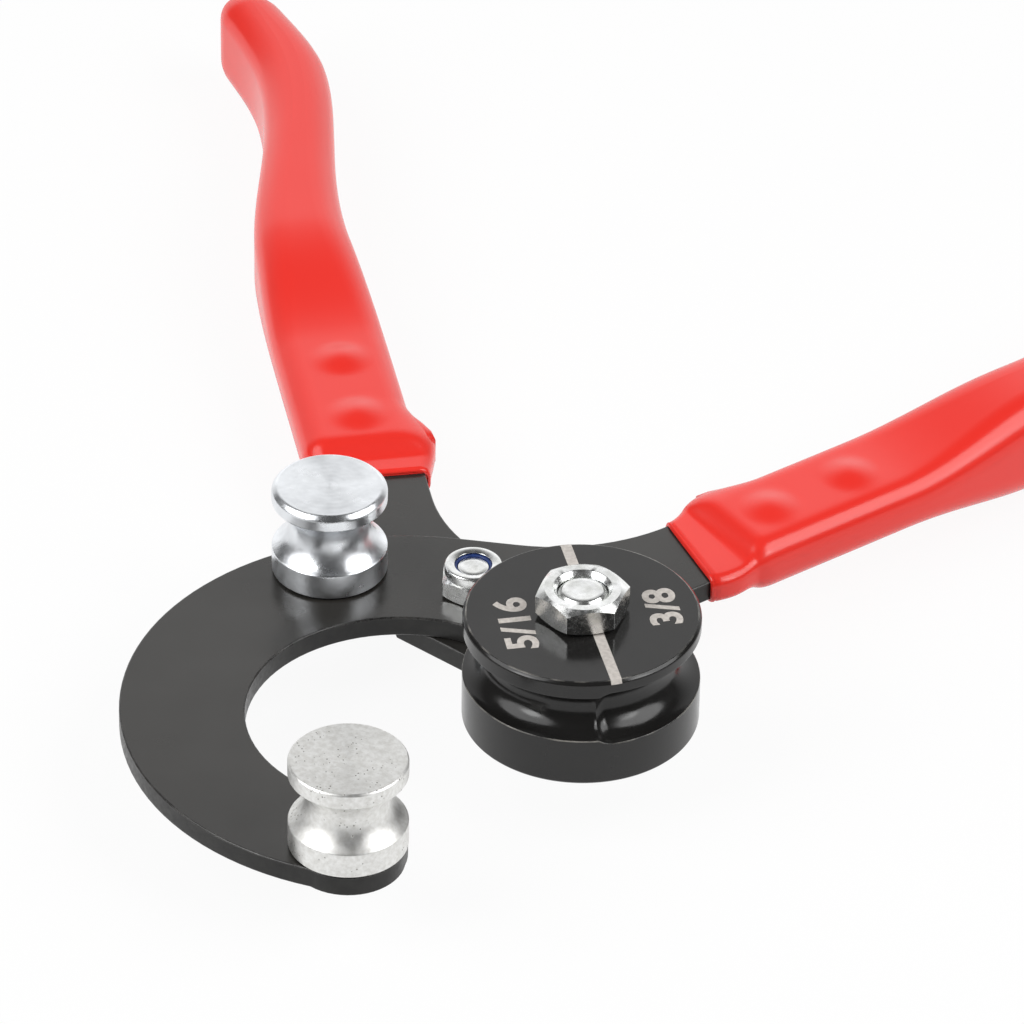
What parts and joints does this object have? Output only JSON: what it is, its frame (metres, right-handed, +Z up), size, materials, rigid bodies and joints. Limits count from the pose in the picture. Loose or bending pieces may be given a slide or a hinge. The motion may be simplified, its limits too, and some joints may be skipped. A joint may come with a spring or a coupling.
{
  "type": "tube bending pliers",
  "caption": "Tube bending pliers: a C-shaped jaw with grooved rollers, a round grooved die on a swinging arm, a bolt pivot and red dipped handles; squeezing folds a thin tube round the die.",
  "frame": {"origin": "on the pivot axis, at the underside of the pivot bolt's head", "axes": "+Z up along the pivot axis, +Y midway between the handles and away from the jaw, +X to the die's side"},
  "size_m": [0.2139, 0.2265, 0.0353],
  "materials": {
    "plate_black": "satin black steel plate",
    "die_black": "gloss black steel with pale etched marks",
    "front_roller_zinc": "bright zinc, turned, pitted top face",
    "rear_roller_zinc": "bright zinc, turned and polished",
    "fastener_zinc": "bright zinc plate",
    "nylon_blue": "dark blue nylon",
    "handle_steel": "plain mild steel, hidden by the vinyl",
    "grip_red": "semi-gloss red vinyl dip"
  },
  "bodies": {
    "jaw_arm": {"jaw_plate": "plate_black", "pivot_bolt": "fastener_zinc", "pivot_washer": "fastener_zinc", "pivot_lock_nut": "fastener_zinc", "lock_nut_ring": "nylon_blue", "jaw_handle_tube": "handle_steel", "jaw_front_rivet": "handle_steel", "jaw_rear_rivet": "handle_steel", "jaw_handle_grip": "grip_red"},
    "die_arm": {"die_plate": "plate_black", "die_bolt": "fastener_zinc", "die_nut": "fastener_zinc", "die_handle_tube": "handle_steel", "die_front_rivet": "handle_steel", "die_rear_rivet": "handle_steel", "die_handle_grip": "grip_red"},
    "die": {"bending_die": "die_black"},
    "front_roller_unit": {"front_roller": "front_roller_zinc", "front_roller_washer": "fastener_zinc"},
    "rear_roller_unit": {"rear_roller": "rear_roller_zinc", "rear_roller_washer": "fastener_zinc"}
  },
  "joints": [
    {"name": "plier_pivot", "type": "hinge", "parent": "jaw_arm", "child": "die_arm", "pos_m": [0, 0, 0.0054], "axis": [0, 0, 1], "range_deg": [-50.3, 10]},
    {"name": "die_swivel", "type": "hinge", "parent": "die_arm", "child": "die", "pos_m": [0.02601, -0.01949, 0.0168], "axis": [0, 0, 1], "continuous": true},
    {"name": "front_roller_spin", "type": "hinge", "parent": "jaw_arm", "child": "front_roller_unit", "pos_m": [0.00703, -0.06805, 0.0091], "axis": [0, 0, 1], "continuous": true},
    {"name": "rear_roller_spin", "type": "hinge", "parent": "jaw_arm", "child": "rear_roller_unit", "pos_m": [-0.02343, -0.00309, 0.0091], "axis": [0, 0, 1], "continuous": true}
  ]
}
